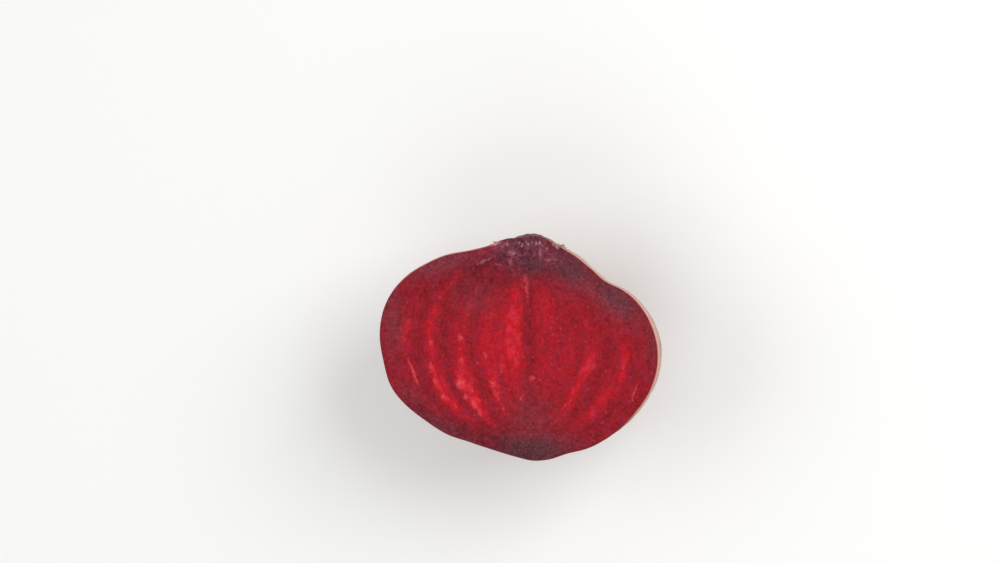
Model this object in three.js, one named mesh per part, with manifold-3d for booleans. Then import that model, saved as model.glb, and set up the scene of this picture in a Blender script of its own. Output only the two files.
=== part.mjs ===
// Half of a beetroot, cut lengthwise through its crown and its root, lying on its rounded back with the cut face up.
// It is one solid, because a root grows as one piece: flat cut face, round back, trimmed crown and trimmed root tip.
// Millimetres, +Z up out of the cut face, +Y from the root towards the crown. The origin is on the surface
// that the half rests on, under the middle of its outline.
import * as THREE from "three";
import { mergeVertices } from "three/addons/utils/BufferGeometryUtils.js";
import Module from "manifold-3d";

// The edge of the cut face, clockwise from the crown: x to the right and y towards the crown, from the root's middle.
const CUT_EDGE = [
  // crown, then the hollow of the right shoulder
  [2.9, 33.5], [6.6, 32.3], [9.8, 30.6], [15.4, 27.8], [20.2, 24.2], [25.0, 20.2], [30.8, 17.4],
  // right cheek, down to the root
  [34.9, 14.1], [38.7, 8.8], [41.0, 2.7], [41.6, -1.6], [41.2, -7.2], [38.8, -14.0], [34.3, -20.3], [29.4, -25.2],
  // root tip
  [20.2, -31.0], [13.0, -33.1], [7.3, -35.0], [2.2, -35.5], [-2.6, -34.6], [-10.1, -32.6],
  // left cheek, up to the left shoulder
  [-18.1, -30.2], [-25.1, -28.0], [-33.6, -22.8], [-39.2, -18.3], [-43.0, -13.3], [-45.3, -5.6], [-46.4, 2.1],
  [-45.2, 9.9], [-42.0, 16.1], [-37.3, 21.0], [-32.0, 24.3], [-25.7, 27.1], [-17.8, 28.8],
  // left side of the crown
  [-12.1, 30.2], [-7.8, 31.8], [-0.8, 33.0],
];
const EDGE_SAMPLES = 1440; // steps along the edge curve when it is read as a radius

const REST_SPOT_DEPTH = 1.0; // how far the round back is pressed flat where it lies
const BACK_DEPTH = 0.985; // depth of the back against a true body of revolution
const SHOULDER_FULLNESS = 0.055; // how much rounder the back's shoulders are than the cut edge's

// Slow swells of the back: share of the radius, lobes round the crown-root axis, lobes along it, phase.
const SWELLS = [
  { share: 0.012, around: 2, along: 1, phase: 0.6 },
  { share: 0.008, around: 3, along: 2, phase: 2.1 },
  { share: 0.006, around: 5, along: 1, phase: 4.0 },
];

// A shallow furrow runs up the back from the root, where the side roots grew.
const FURROW = { depth: 1.0, roll: 1.9, halfWidth: 0.16, reach: 0.9 };

// The hollow of the right shoulder deepens just behind the cut.
const HOLLOW = { depth: 1.5, roll: 0.5, halfRoll: 0.3, tilt: 1.06, halfTilt: 0.36 };

// Stumps of the leaf stalks on the crown, set out in a spiral as the leaves grew.
const LEAF_STUMPS = 15;
const GOLDEN_ANGLE = Math.PI * (3 - Math.sqrt(5));
const STUMP_SPACING = 2.9; // the nth stump stands this times the root of n from the axis
const STUMP = { height: 1.7, thickness: 1.35, halfWidth: 3.6, atCut: 0.2 };

const ROLL_STEPS = 128; // mesh steps round the crown-root axis, of which the back keeps half
const AXIS_STEPS = 80; // mesh steps from crown to root
const CLEARANCE = 200; // side of the blocks that cut the body

/** The edge's radius at each of EDGE_SAMPLES angles, counted from the crown, positive to the right. */
function readEdge() {
  const points = CUT_EDGE.map(([x, y]) => new THREE.Vector3(x, y, 0));
  const curve = new THREE.CatmullRomCurve3(points, true, "centripetal");
  const polar = curve
    .getPoints(EDGE_SAMPLES)
    .slice(0, -1)
    .map((p) => [Math.atan2(p.x, p.y), Math.hypot(p.x, p.y)])
    .sort((a, b) => a[0] - b[0]);
  const first = polar[0];
  const last = polar[polar.length - 1];
  return [[last[0] - 2 * Math.PI, last[1]], ...polar, [first[0] + 2 * Math.PI, first[1]]];
}
const EDGE = readEdge();

function edgeRadius(angle) {
  let low = 0;
  let high = EDGE.length - 1;
  while (high - low > 1) {
    const middle = (low + high) >> 1;
    if (EDGE[middle][0] <= angle) low = middle;
    else high = middle;
  }
  const share = (angle - EDGE[low][0]) / (EDGE[high][0] - EDGE[low][0]);
  return EDGE[low][1] + share * (EDGE[high][1] - EDGE[low][1]);
}

/** A number from 0 to 1 that is always the same for the same index. */
function scatter(index, kind) {
  const wave = Math.sin(index * 12.9898 + kind * 78.233) * 43758.5453;
  return wave - Math.floor(wave);
}

/** An angle brought between -PI and PI. */
function wrapped(angle) {
  return angle - 2 * Math.PI * Math.round(angle / (2 * Math.PI));
}

/** How far the leaf-stalk stumps rise at a distance from the axis and a roll round it. */
function stumpRelief(distance, roll) {
  let hollow = 1; // what the stumps leave of the full height between them
  for (let n = 1; n <= LEAF_STUMPS; n++) {
    const stand = STUMP_SPACING * Math.sqrt(n);
    const across = stand * wrapped(roll - n * GOLDEN_ANGLE);
    const halfWidth = STUMP.halfWidth * (0.75 + 0.5 * scatter(n, 1));
    const bow = (across * across) / (4 * halfWidth); // each stump is a crescent, open towards the axis
    const radial = (distance - stand + bow) / STUMP.thickness;
    const share = 0.4 + 0.55 * scatter(n, 2);
    hollow *= 1 - share * Math.exp(-radial * radial - Math.pow(across / halfWidth, 4));
  }
  return STUMP.height * (1 - hollow);
}

/** The surface's distance from the middle, along a direction: tilt from the crown, roll from the right edge. */
function surfaceRadius(tilt, roll) {
  const turn = Math.abs(roll) / Math.PI; // 0 at the right edge, 1 at the left
  const towardsLeft = turn ** 3 * (10 - 15 * turn + 6 * turn * turn);
  const profile = (1 - towardsLeft) * edgeRadius(tilt) + towardsLeft * edgeRadius(-tilt);
  const back = Math.sin(roll) ** 2; // 0 on the cut face, 1 straight below it
  const girth = Math.sin(tilt) ** 2; // 0 at crown and root, 1 at the girth
  let swell = 0;
  for (const { share, around, along, phase } of SWELLS) {
    swell += share * Math.sin(around * roll + phase) * Math.cos(along * tilt + phase);
  }
  const offFurrow = wrapped(roll - FURROW.roll) / FURROW.halfWidth;
  const fromRoot = (Math.PI - tilt) / FURROW.reach;
  const furrow = FURROW.depth * Math.exp(-offFurrow * offFurrow) * Math.exp(-fromRoot * fromRoot) * girth;
  const offRoll = (roll - HOLLOW.roll) / HOLLOW.halfRoll;
  const offTilt = (tilt - HOLLOW.tilt) / HOLLOW.halfTilt;
  const hollow = HOLLOW.depth * Math.exp(-offRoll * offRoll - offTilt * offTilt);
  const shoulder = SHOULDER_FULLNESS * back ** 3 * Math.sin(2 * tilt) ** 2;
  const body = profile * (1 + shoulder + back * girth * (BACK_DEPTH - 1 + swell)) - furrow - hollow;
  if (tilt > Math.PI / 2) return body;
  return body + (STUMP.atCut + (1 - STUMP.atCut) * back) * stumpRelief(body * Math.sin(tilt), roll);
}

/** The whole rounded body: a sphere whose poles are crown and root, drawn out to the surface's radius. */
function roundBody() {
  const sphere = new THREE.SphereGeometry(1, ROLL_STEPS, AXIS_STEPS);
  sphere.rotateY(Math.PI / ROLL_STEPS); // the cut then falls between two rows of vertices
  const position = sphere.getAttribute("position");
  const point = new THREE.Vector3();
  for (let i = 0; i < position.count; i++) {
    point.fromBufferAttribute(position, i);
    const even = Math.acos(THREE.MathUtils.clamp(point.y, -1, 1));
    const tilt = even - 0.2 * Math.sin(even) - 0.2 * Math.sin(2 * even); // more rows at crown and root
    const roll = Math.atan2(-point.z, point.x);
    const radius = surfaceRadius(tilt, roll);
    const out = radius * Math.sin(tilt);
    point.set(out * Math.cos(roll), radius * Math.cos(tilt), -out * Math.sin(roll));
    position.setXYZ(i, point.x, point.y, point.z);
  }
  return sphere;
}

/** A closed geometry as a solid that can be cut. */
function solidFrom(wasm, geometry) {
  const bare = geometry.clone();
  bare.deleteAttribute("normal");
  bare.deleteAttribute("uv");
  const merged = mergeVertices(bare, 1e-4);
  return new wasm.Manifold(
    new wasm.Mesh({
      numProp: 3,
      vertProperties: new Float32Array(merged.getAttribute("position").array),
      triVerts: new Uint32Array(merged.index.array),
    }),
  );
}

/** A cut solid back as a geometry with flat faces. */
function geometryFrom(solid) {
  const mesh = solid.getMesh();
  const indexed = new THREE.BufferGeometry()
    .setAttribute("position", new THREE.BufferAttribute(new Float32Array(mesh.vertProperties), 3))
    .setIndex(new THREE.BufferAttribute(new Uint32Array(mesh.triVerts), 1));
  const flat = indexed.toNonIndexed();
  flat.computeVertexNormals();
  return flat;
}

const wasm = await Module();
wasm.setup();

const body = solidFrom(wasm, roundBody());
const aboveCut = new THREE.BoxGeometry(CLEARANCE, CLEARANCE, CLEARANCE).translate(0, 0, CLEARANCE / 2);
const half = body.subtract(solidFrom(wasm, aboveCut));
const restLevel = half.boundingBox().min[2] + REST_SPOT_DEPTH;
const belowRest = new THREE.BoxGeometry(CLEARANCE, CLEARANCE, CLEARANCE).translate(0, 0, restLevel - CLEARANCE / 2);
const rested = half.subtract(solidFrom(wasm, belowRest));

const flesh = new THREE.MeshStandardMaterial({ color: "#8f1f2c", roughness: 0.45, metalness: 0 });
const beetroot = new THREE.Mesh(geometryFrom(rested), flesh);
beetroot.name = "beetroot_half";
const box = rested.boundingBox();
beetroot.position.set(-(box.min[0] + box.max[0]) / 2, -(box.min[1] + box.max[1]) / 2, -box.min[2]);

const part = new THREE.Group();
part.add(beetroot);
export default part;
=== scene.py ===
"""A raw beetroot cut in half lengthwise, lying on its skin with the ringed cut face up.

The half is one grown piece: a closed mesh whose flat side is cut flesh and whose round side is skin. A second
piece holds the dried bases of the leaf stalks that stand round the crown. Sizes are in millimetres until they
go into a mesh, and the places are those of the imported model: +Z up out of the cut face, +Y towards the crown.
"""

import logging
import math
from bisect import bisect_left
from dataclasses import dataclass, field
from enum import Enum
from functools import partial
from typing import Any, Callable, Sequence

import bmesh
import bpy
from mathutils import Matrix, Vector, noise


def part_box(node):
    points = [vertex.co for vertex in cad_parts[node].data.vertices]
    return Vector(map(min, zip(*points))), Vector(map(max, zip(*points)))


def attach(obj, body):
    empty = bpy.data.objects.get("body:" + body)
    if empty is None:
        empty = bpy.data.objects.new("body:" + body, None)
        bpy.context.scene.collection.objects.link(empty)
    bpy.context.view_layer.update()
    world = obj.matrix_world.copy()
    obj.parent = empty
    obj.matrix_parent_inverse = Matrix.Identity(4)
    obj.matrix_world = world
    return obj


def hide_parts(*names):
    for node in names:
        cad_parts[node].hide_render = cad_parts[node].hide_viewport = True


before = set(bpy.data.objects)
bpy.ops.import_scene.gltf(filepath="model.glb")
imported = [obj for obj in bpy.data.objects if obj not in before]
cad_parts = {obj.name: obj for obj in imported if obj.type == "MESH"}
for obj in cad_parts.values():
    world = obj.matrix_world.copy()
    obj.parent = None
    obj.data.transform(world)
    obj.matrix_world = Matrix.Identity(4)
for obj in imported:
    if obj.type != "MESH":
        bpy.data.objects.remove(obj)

LOG = logging.getLogger("beetroot")
MM = 0.001
NODE = "beetroot_half"
BODY = "root"
GOLDEN_ANGLE = math.pi * (3 - math.sqrt(5))
LEAN = 0.0215  # the pattern of the cut face rises this much for each step to the right

Tree = bpy.types.NodeTree
Socket = bpy.types.NodeSocket
Sockets = dict[str, Socket]
Adder = Callable[..., Socket]  # adds a node to a tree and gives back one of its sockets
Ramp = tuple[tuple[float, str], ...]  # position and hex colour of each stop

# The edge of the cut face, clockwise from the crown: x to the right and y towards the crown, from the middle.
CUT_EDGE = (
    # crown, then the hollow of the right shoulder
    (2.9, 33.5), (6.6, 32.3), (9.8, 30.6), (15.4, 27.8), (20.2, 24.2), (25.0, 20.2), (30.8, 17.4),
    # right cheek, down to the root
    (34.9, 14.1), (38.7, 8.8), (41.0, 2.7), (41.6, -1.6), (41.2, -7.2), (38.8, -14.0), (34.3, -20.3),
    (29.4, -25.2),
    # root tip
    (20.2, -31.0), (13.0, -33.1), (7.3, -35.0), (2.2, -35.5), (-2.6, -34.6), (-10.1, -32.6),
    # left cheek, up to the left shoulder
    (-18.1, -30.2), (-25.1, -28.0), (-33.6, -22.8), (-39.2, -18.3), (-43.0, -13.3), (-45.3, -5.6),
    (-46.4, 2.1), (-45.2, 9.9), (-42.0, 16.1), (-37.3, 21.0), (-32.0, 24.3), (-25.7, 27.1), (-17.8, 28.8),
    # left side of the crown
    (-12.1, 30.2), (-7.8, 31.8), (-0.8, 33.0),
)


class Slot(Enum):
    """The finishes of the half, in the order of its material slots."""

    FLESH = 0
    SKIN = 1


def linear(colour: str) -> tuple[float, float, float, float]:
    """Turn an sRGB hex colour into linear light.

    Args:
        colour: The colour as "#rrggbb".

    Returns:
        Red, green and blue in linear light, and an alpha of 1.
    """
    channels = (int(colour[i : i + 2], 16) / 255 for i in (1, 3, 5))
    red, green, blue = (c / 12.92 if c <= 0.04045 else ((c + 0.055) / 1.055) ** 2.4 for c in channels)
    return red, green, blue, 1.0


def add_node(
    tree: Tree,
    kind: str,
    inputs: dict[int | str, Any] | None = None,
    out: int | str = 0,
    stops: Sequence[tuple[float, str]] = (),
    **settings: Any,
) -> Socket | None:
    """Add one node with its settings and links.

    Args:
        tree: The material's or world's node tree.
        kind: The node's type name, without the ShaderNode that it starts with.
        inputs: For each input's name or number, the socket that feeds it or its value.
        out: Name or number of the output that is given back.
        stops: Position and hex colour of each stop, where the node is a colour ramp.
        **settings: The node's own properties.

    Returns:
        The asked output socket, or None for a node without outputs.
    """
    node = tree.nodes.new("ShaderNode" + kind)
    for name, value in settings.items():
        setattr(node, name, value)
    for key, value in (inputs or {}).items():
        if isinstance(value, Socket):
            tree.links.new(value, node.inputs[key])
        else:
            node.inputs[key].default_value = value
    if stops:
        elements = node.color_ramp.elements
        elements[0].position, elements[0].color = stops[0][0], linear(stops[0][1])
        elements[1].position, elements[1].color = stops[-1][0], linear(stops[-1][1])
        for position, colour in stops[1:-1]:
            elements.new(position).color = linear(colour)
    return node.outputs[out] if len(node.outputs) else None


def scatter(index: int, kind: int) -> float:
    """Give a number from 0 to 1 that is always the same for the same index and kind."""
    wave = math.sin(index * 12.9898 + kind * 78.233) * 43758.5453
    return wave - math.floor(wave)


def smooth(low: float, high: float, value: float) -> float:
    """Rise smoothly from 0 at low to 1 at high, or fall where low is above high."""
    share = min(1.0, max(0.0, (value - low) / (high - low)))
    return share * share * (3 - 2 * share)


def read_line(points: Sequence[tuple[float, float]], at: float) -> float:
    """Read a line of points between its two nearest places.

    Args:
        points: Place and value of each point, in the order of their places.
        at: The place to read.

    Returns:
        The value there.
    """
    i = min(len(points) - 1, max(1, bisect_left(points, (at, -math.inf))))
    (x0, y0), (x1, y1) = points[i - 1], points[i]
    share = min(1.0, max(0.0, (at - x0) / max(x1 - x0, 1e-9)))
    return y0 + share * (y1 - y0)


class Outline:
    """The closed edge of the cut face as a smooth curve, read about a centre."""

    SAMPLES = 24

    def __init__(
        self, points: Sequence[tuple[float, float]], centre: tuple[float, float] = (0.0, 0.0)
    ) -> None:
        """Sample the curve and sort it by angle and by height.

        Args:
            points: The edge's points, clockwise from the crown.
            centre: The point that angles and radii are read from.
        """
        samples: list[tuple[float, float]] = []
        count = len(points)
        for i in range(count):
            samples.extend(self._stretch([Vector(points[(i + k) % count]) for k in (-1, 0, 1, 2)]))
        self.left = min(x for x, _ in samples)
        self.low = min(y for _, y in samples)
        self.crown_side = sorted((x, y) for x, y in samples if y > 0)
        cx, cy = centre
        polar = sorted((math.atan2(x - cx, y - cy), math.hypot(x - cx, y - cy)) for x, y in samples)
        turn = 2 * math.pi
        self.polar = [(polar[-1][0] - turn, polar[-1][1]), *polar, (polar[0][0] + turn, polar[0][1])]
        self.sides = {
            side: sorted((y, abs(x - cx)) for x, y in samples if (x - cx) * side > 0) for side in (-1, 1)
        }

    def _stretch(self, around: list[Vector]) -> list[tuple[float, float]]:
        """Sample the centripetal Catmull-Rom stretch between the middle two of four points.

        Args:
            around: The four points.

        Returns:
            The samples, from the second point until just before the third.
        """
        p0, p1, p2, p3 = around
        d0, d1, d2 = (math.sqrt((b - a).length) for a, b in ((p0, p1), (p1, p2), (p2, p3)))
        start = ((p1 - p0) / d0 - (p2 - p0) / (d0 + d1) + (p2 - p1) / d1) * d1
        end = ((p2 - p1) / d1 - (p3 - p1) / (d1 + d2) + (p3 - p2) / d2) * d1
        square, cube = 3 * (p2 - p1) - 2 * start - end, 2 * (p1 - p2) + start + end
        shares = (k / self.SAMPLES for k in range(self.SAMPLES))
        return [tuple(p1 + start * t + square * t**2 + cube * t**3) for t in shares]

    def radius(self, angle: float) -> float:
        """Give the edge's distance from the centre at an angle off the crown, positive to the right."""
        return read_line(self.polar, angle)

    def top(self, x: float) -> float:
        """Give the edge's height on the crown's side, at a place across."""
        return read_line(self.crown_side, x)

    def half_width(self, side: int, height: float) -> float:
        """Give the edge's distance from the crown-root line at a height, on the left (-1) or right (1)."""
        return read_line(self.sides[side], height)


@dataclass(frozen=True)
class Swell:
    """One slow swell of the round back: share of the radius, lobes round and along, phase."""

    share: float
    around: int
    along: int
    phase: float


@dataclass
class RoundBack:
    """The body's surface about its middle, from a tilt off the crown and a roll off the right edge."""

    edge: Outline
    depth: float = 0.985  # against a true body of revolution
    shoulder: float = 0.055  # how much rounder the shoulders are than at the cut
    rest_depth: float = 1.0  # how far it is pressed flat where it lies
    swells: tuple[Swell, ...] = (Swell(0.012, 2, 1, 0.6), Swell(0.008, 3, 2, 2.1), Swell(0.006, 5, 1, 4.0))
    furrow_depth: float = 1.0
    furrow_roll: float = 1.9
    furrow_half_width: float = 0.16
    furrow_reach: float = 0.9
    hollow_depth: float = 1.5
    hollow_roll: float = 0.5
    hollow_half_roll: float = 0.3
    hollow_tilt: float = 1.06
    hollow_half_tilt: float = 0.36
    stumps: int = 15
    stump_spacing: float = 2.9
    stump_height: float = 1.7
    stump_thickness: float = 1.35
    stump_half_width: float = 3.6
    stump_at_cut: float = 0.2

    def stump_relief(self, distance: float, roll: float) -> float:
        """Give how far the leaf-stalk stumps rise.

        Args:
            distance: Distance from the crown-root line.
            roll: Angle round that line.

        Returns:
            The rise in millimetres.
        """
        hollow = 1.0
        for n in range(1, self.stumps + 1):
            stand = self.stump_spacing * math.sqrt(n)
            across = stand * math.remainder(roll - n * GOLDEN_ANGLE, 2 * math.pi)
            half_width = self.stump_half_width * (0.75 + 0.5 * scatter(n, 1))
            bow = across * across / (4 * half_width)
            radial = (distance - stand + bow) / self.stump_thickness
            share = 0.4 + 0.55 * scatter(n, 2)
            hollow *= 1 - share * math.exp(-radial * radial - (across / half_width) ** 4)
        return self.stump_height * (1 - hollow)

    def radius(self, tilt: float, roll: float) -> float:
        """Give the surface's distance from the middle.

        Args:
            tilt: Angle from the crown's direction, 0 to pi.
            roll: Angle round the crown-root line, 0 at the right edge and pi at the left.

        Returns:
            The distance in millimetres.
        """
        turn = abs(roll) / math.pi
        left = turn**3 * (10 - 15 * turn + 6 * turn * turn)
        profile = (1 - left) * self.edge.radius(tilt) + left * self.edge.radius(-tilt)
        back = math.sin(roll) ** 2
        girth = math.sin(tilt) ** 2
        swell = sum(
            s.share * math.sin(s.around * roll + s.phase) * math.cos(s.along * tilt + s.phase)
            for s in self.swells
        )
        off_furrow = math.remainder(roll - self.furrow_roll, 2 * math.pi) / self.furrow_half_width
        from_root = (math.pi - tilt) / self.furrow_reach
        furrow = self.furrow_depth * math.exp(-(off_furrow**2) - from_root**2) * girth
        off_roll = (roll - self.hollow_roll) / self.hollow_half_roll
        off_tilt = (tilt - self.hollow_tilt) / self.hollow_half_tilt
        hollow = self.hollow_depth * math.exp(-(off_roll**2) - off_tilt**2)
        shoulder = self.shoulder * back**3 * math.sin(2 * tilt) ** 2
        body = profile * (1 + shoulder + back * girth * (self.depth - 1 + swell)) - furrow - hollow
        if tilt > math.pi / 2:
            return body
        share = self.stump_at_cut + (1 - self.stump_at_cut) * back
        return body + share * self.stump_relief(body * math.sin(tilt), roll)

    def point(self, tilt: float, roll: float) -> Vector:
        """Give the surface point for a tilt and a roll."""
        out = math.sin(tilt)
        return self.radius(tilt, roll) * Vector((out * math.cos(roll), math.cos(tilt), -out * math.sin(roll)))


@dataclass(frozen=True)
class Streak:
    """A bright stretch of a growth ring, where the cut runs along its vessels.

    The ring is a share from the crown-root line to the edge, negative to the left. Top and bottom are
    heights.
    """

    ring: float
    top: float
    bottom: float
    width: float
    gain: float


@dataclass(frozen=True)
class Patch:
    """A soft oval stain on the cut face: its middle, its half sizes, its amount and its turn in degrees."""

    x: float
    y: float
    half_x: float
    half_y: float
    amount: float = 1.0
    turn: float = 0.0

    def read(self, x: float, y: float) -> float:
        """Give the stain's strength.

        Args:
            x: Place across the cut face.
            y: Place towards the crown.

        Returns:
            The strength, the stain's amount in its middle and near 0 outside it.
        """
        angle = math.radians(self.turn)
        dx, dy = x - self.x, y - self.y
        u = (dx * math.cos(angle) + dy * math.sin(angle)) / self.half_x
        v = (dy * math.cos(angle) - dx * math.sin(angle)) / self.half_y
        return self.amount * math.exp(-(u * u + v * v))


@dataclass
class CutPattern:
    """What the knife laid bare: growth rings, vessels and stains, by place on the cut face."""

    edge: Outline
    axis: float = 1.5
    middle: float = 2.0
    lean: float = LEAN
    wide_wander: float = 0.9  # how far the rings stray from their places
    near_wander: float = 0.4
    fullness: float = 0.445  # how full of sap the flesh is between bright and dark rings
    ring_contrast: float = 1.2
    ring_mean: float = 0.42
    core_fullness: float = 0.43
    edge_loss: float = 0.06  # the flesh is darker along the edge
    edge_mm: float = 2.0
    # brightness of the rings by their share from the crown-root line to the edge
    left_rings: tuple[tuple[float, float], ...] = (
        (0.0, 0.36), (0.03, 0.38), (0.07, 0.48), (0.12, 0.58), (0.17, 0.53), (0.23, 0.45), (0.30, 0.52),
        (0.38, 0.36), (0.48, 0.54), (0.58, 0.34), (0.67, 0.54), (0.75, 0.34), (0.83, 0.46), (0.90, 0.38),
        (1.0, 0.40),
    )
    right_rings: tuple[tuple[float, float], ...] = (
        (0.0, 0.36), (0.03, 0.38), (0.08, 0.44), (0.16, 0.46), (0.24, 0.41), (0.33, 0.46), (0.41, 0.40),
        (0.49, 0.54), (0.59, 0.35), (0.66, 0.39), (0.74, 0.52), (0.82, 0.36), (0.88, 0.44), (0.94, 0.38),
        (1.0, 0.40),
    )
    streaks: tuple[Streak, ...] = (
        # beside the crown-root line
        Streak(-0.118, 20.0, -9.0, 0.074, 0.32),
        Streak(-0.215, 1.0, -10.0, 0.060, 0.20),
        Streak(0.125, 20.0, 4.0, 0.110, 0.20),
        # left rings, from the middle outwards
        Streak(-0.275, -7.0, -17.0, 0.035, 0.30),
        Streak(-0.24, -15.0, -23.0, 0.035, 0.22),
        Streak(-0.33, 4.0, -10.0, 0.050, 0.12),
        Streak(-0.465, 5.0, -8.0, 0.040, 0.12),
        Streak(-0.48, -5.0, -24.0, 0.048, 0.46),
        Streak(-0.665, 14.0, -9.0, 0.022, 0.20),
        Streak(-0.65, -6.0, -21.0, 0.038, 0.42),
        Streak(-0.61, -18.0, -26.0, 0.050, 0.14),
        Streak(-0.835, 9.0, 0.0, 0.035, 0.16),
        Streak(-0.66, 24.0, 13.0, 0.018, 0.14),
        Streak(-0.45, 22.0, 6.0, 0.022, 0.10),
        # right rings, from the middle outwards
        Streak(0.30, 3.0, -8.0, 0.050, 0.12),
        Streak(0.475, -1.0, -14.0, 0.042, 0.36),
        Streak(0.45, -10.0, -22.0, 0.050, 0.26),
        Streak(0.745, -1.0, -12.0, 0.042, 0.24),
        Streak(0.72, -10.0, -25.0, 0.060, 0.19),
    )
    # lighter (positive) and darker (negative) regions
    tones: tuple[Patch, ...] = (
        Patch(-1.0, 27.6, 5.5, 5.2, -0.32),
        Patch(-7.0, 30.3, 4.5, 1.8, 0.22),
        Patch(7.5, 22.5, 5.0, 3.4, -0.16),
        Patch(-5.0, 20.5, 6.0, 3.4, -0.08),
        Patch(-7.8, 27.4, 2.6, 2.2, -0.30),
        Patch(9.5, 29.5, 2.4, 1.6, -0.25, -28),
        Patch(14.0, 26.0, 5.0, 5.0, -0.11),
        Patch(24.0, 17.0, 7.0, 4.0, -0.04, -35),
        Patch(-14.0, 24.0, 7.0, 3.6, -0.26, 10),
        Patch(-14.0, 18.5, 12.0, 3.6, -0.10, 8),
        Patch(-30.0, 19.0, 12.0, 6.0, -0.08, 25),
        Patch(-26.0, 25.0, 12.0, 2.6, 0.12, 18),
        Patch(-42.5, 5.0, 3.0, 8.0, 0.07),
        Patch(0.5, 16.0, 8.0, 4.0, -0.08),
        Patch(-15.0, 11.0, 5.0, 5.0, -0.06),
        Patch(-11.5, 5.5, 4.4, 9.0, 0.13),
        Patch(7.0, -8.5, 5.5, 6.0, 0.11),
        Patch(-8.0, -24.0, 5.0, 4.0, -0.06),
        Patch(1.0, 5.0, 2.0, 20.0, -0.05),
        Patch(1.5, -33.5, 10.0, 5.6, -0.14),
        Patch(-15.0, -27.5, 12.0, 4.6, -0.18, -16),
        Patch(19.0, -27.0, 12.0, 4.0, -0.08, 28),
        Patch(-33.0, -20.0, 6.0, 4.0, -0.08, -35),
    )
    # dull purple regions: the crown's and root tip's own duller flesh, and painted sheen, a purple-grey veil,
    # at the upper left and upper right
    dull_and_sheen_patches: tuple[Patch, ...] = (
        Patch(-1.0, 31.0, 13.0, 5.0, 0.95),
        Patch(1.5, 25.5, 8.0, 5.0, 0.85),
        Patch(14.0, 23.5, 12.0, 6.0, 0.85, -32),
        Patch(28.0, 14.5, 12.0, 5.5, 0.85, -38),
        Patch(40.0, 2.0, 3.0, 12.0, 0.45),
        Patch(-26.0, 25.5, 17.0, 4.0, 0.65, 16),
        Patch(-42.5, 8.0, 4.0, 14.0, 0.50),
        Patch(-36.0, -17.0, 5.0, 9.0, 0.35, 40),
        Patch(-16.0, 15.0, 8.0, 7.0, 0.34),
        Patch(-26.0, -26.0, 18.0, 3.8, 0.60, -24),
        Patch(1.5, -33.0, 14.0, 6.5, 1.0),
        Patch(1.5, -24.0, 8.0, 10.0, 0.42),
    )
    core: Patch = Patch(1.5, -27.0, 11.0, 14.5)
    crown: Patch = Patch(0.5, 29.5, 13.0, 5.0)
    polar: Outline = field(init=False)

    def __post_init__(self) -> None:
        """Read the edge about the middle of the rings too."""
        self.polar = Outline(CUT_EDGE, (self.axis, self.middle))

    def ring(self, x: float, y: float) -> float:
        """Give the signed share from the crown-root line to the edge along which the rings run.

        Near the line the rings are meridians from crown to root. Further out they close up towards rings
        about the middle, more so on the right.

        Args:
            x: Place across the cut face.
            y: Place towards the crown.

        Returns:
            The share, negative to the left.
        """
        off = x - self.axis
        side = 1 if off > 0 else -1
        meridian = min(1.0, abs(off) / max(self.polar.half_width(side, y), 2.0))
        angle = math.atan2(off, y - self.middle)
        round_share = min(1.0, math.hypot(off, y - self.middle) / self.polar.radius(angle))
        closing = (0.7 if side > 0 else 0.3) * smooth(0.08, 0.5, meridian)
        return side * (meridian + closing * (round_share - meridian))

    def clarity(self, x: float, y: float) -> float:
        """Give how clearly the rings show: most at the lower left, least towards the crown.

        Args:
            x: Place across the cut face.
            y: Place towards the crown.

        Returns:
            The clearness, from 0 to 1.
        """
        low = smooth(24.0, -6.0, y)
        right = smooth(0.0, 25.0, x)
        near_root = smooth(-32.0, -22.0, y - 0.12 * abs(x))
        return (0.30 + 0.70 * low) * (1 - 0.30 * right) * near_root

    def rim_light(self, x: float, y: float) -> float:
        """Give how pale the peel's cut edge is painted: paler pared peel with a painted highlight at the right
        and top left, where the light falls, and painted shade below.

        Args:
            x: Place across the cut face.
            y: Place towards the crown.

        Returns:
            The paleness, from 0 to 1.
        """
        angle = math.atan2(x, y)
        top_left = smooth(-1.25, -1.0, angle) * smooth(-0.2, -0.35, angle)
        right = smooth(0.28, 0.45, angle) * smooth(2.35, 1.9, angle)
        return max(top_left, right)

    def read(self, x: float, y: float) -> dict[str, float]:
        """Give the values that the flesh is coloured from, at one point of the cut face.

        Args:
            x: Place across the cut face.
            y: Place towards the crown.

        Returns:
            The values, by the names that the flesh reads them under.
        """
        inset = self.edge.radius(math.atan2(x, y)) - math.hypot(x, y)
        y -= self.lean * x
        wide = noise.noise(Vector((x * 0.11, y * 0.07, 3.1)))
        near = noise.noise(Vector((x * 0.5, y * 0.22, 9.7)))
        ring = self.ring(x + self.wide_wander * wide + self.near_wander * near, y)
        rings = self.right_rings if ring > 0 else self.left_rings
        contrast = self.clarity(x, y) * self.ring_contrast
        sap = self.fullness + contrast * (read_line(rings, abs(ring)) - self.ring_mean)
        glow = 0.0
        for s in self.streaks:
            off = (ring - s.ring) / s.width
            if abs(off) < 2.2:
                along = (y - (s.top + s.bottom) / 2) / ((s.top - s.bottom) / 2)
                glow = max(glow, s.gain * math.exp(-abs(off) ** 2.6 - abs(along) ** 3))
        core = self.core.read(x, y)
        sap += min(1.0, 1.3 * core) * (self.core_fullness - sap)
        sap += sum(tone.read(x, y) for tone in self.tones)
        return {
            "ring": ring,
            "sap": sap - self.edge_loss * math.exp(-max(inset, 0.0) / self.edge_mm),
            "glow": glow,
            "dusk": max(patch.read(x, y) for patch in self.dull_and_sheen_patches),
            "core": core,
            "crown": self.crown.read(x, y),
            "inset": inset,
            "rim_light": self.rim_light(x, y),
        }


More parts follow.
